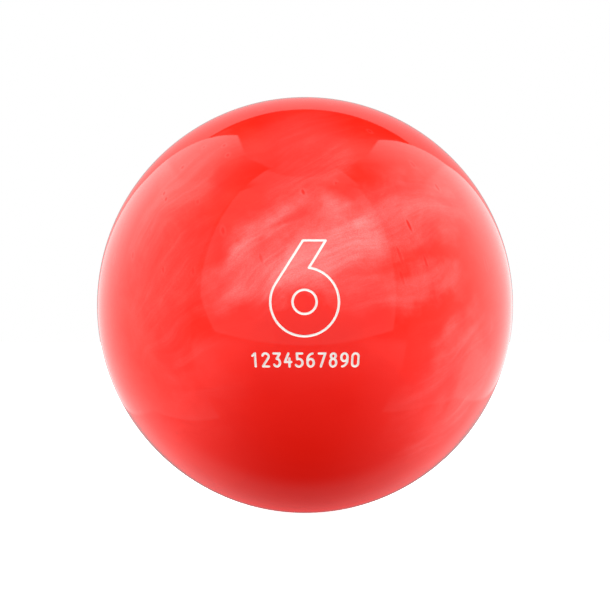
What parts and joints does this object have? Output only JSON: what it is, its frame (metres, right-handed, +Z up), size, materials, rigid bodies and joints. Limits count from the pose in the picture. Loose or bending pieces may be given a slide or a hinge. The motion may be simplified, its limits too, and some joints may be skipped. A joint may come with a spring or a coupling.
{
  "type": "bowling ball",
  "caption": "Glossy red pearl ten-pin bowling ball with an engraved white weight numeral and serial line, drilled with thumb and finger holes on the far side",
  "frame": {"origin": "the centre of the ball", "axes": "+Z up; the engraved label faces -Y, and +X is to the right of a person who reads it; the grip is drilled around +Y with the thumb hole below the two finger holes"},
  "size_m": [0.2172, 0.2172, 0.2172],
  "materials": {
    "pearl_polyester": "high-gloss red pearl polyester with lighter pink swirls",
    "filled_resin": "cast filled resin, dull and slightly grainy",
    "heavy_resin": "dark dense cast resin",
    "pin_polyester": "polished plain polyester, flush with the cover",
    "engraving_paint": "white fill paint in ball-nosed engraving"
  },
  "bodies": {
    "root": {"coverstock": "pearl_polyester", "filler_core": "filled_resin", "weight_block": "heavy_resin", "locator_pin": "pin_polyester", "weight_numeral_outline": "engraving_paint", "weight_numeral_counter": "engraving_paint", "serial_digit_01": "engraving_paint", "serial_digit_02": "engraving_paint", "serial_digit_03": "engraving_paint", "serial_digit_04": "engraving_paint", "serial_digit_05": "engraving_paint", "serial_digit_06": "engraving_paint", "serial_digit_07": "engraving_paint", "serial_digit_08": "engraving_paint", "serial_digit_09": "engraving_paint", "serial_digit_10": "engraving_paint", "cg_mark_fill": "engraving_paint"}
  },
  "joints": []
}
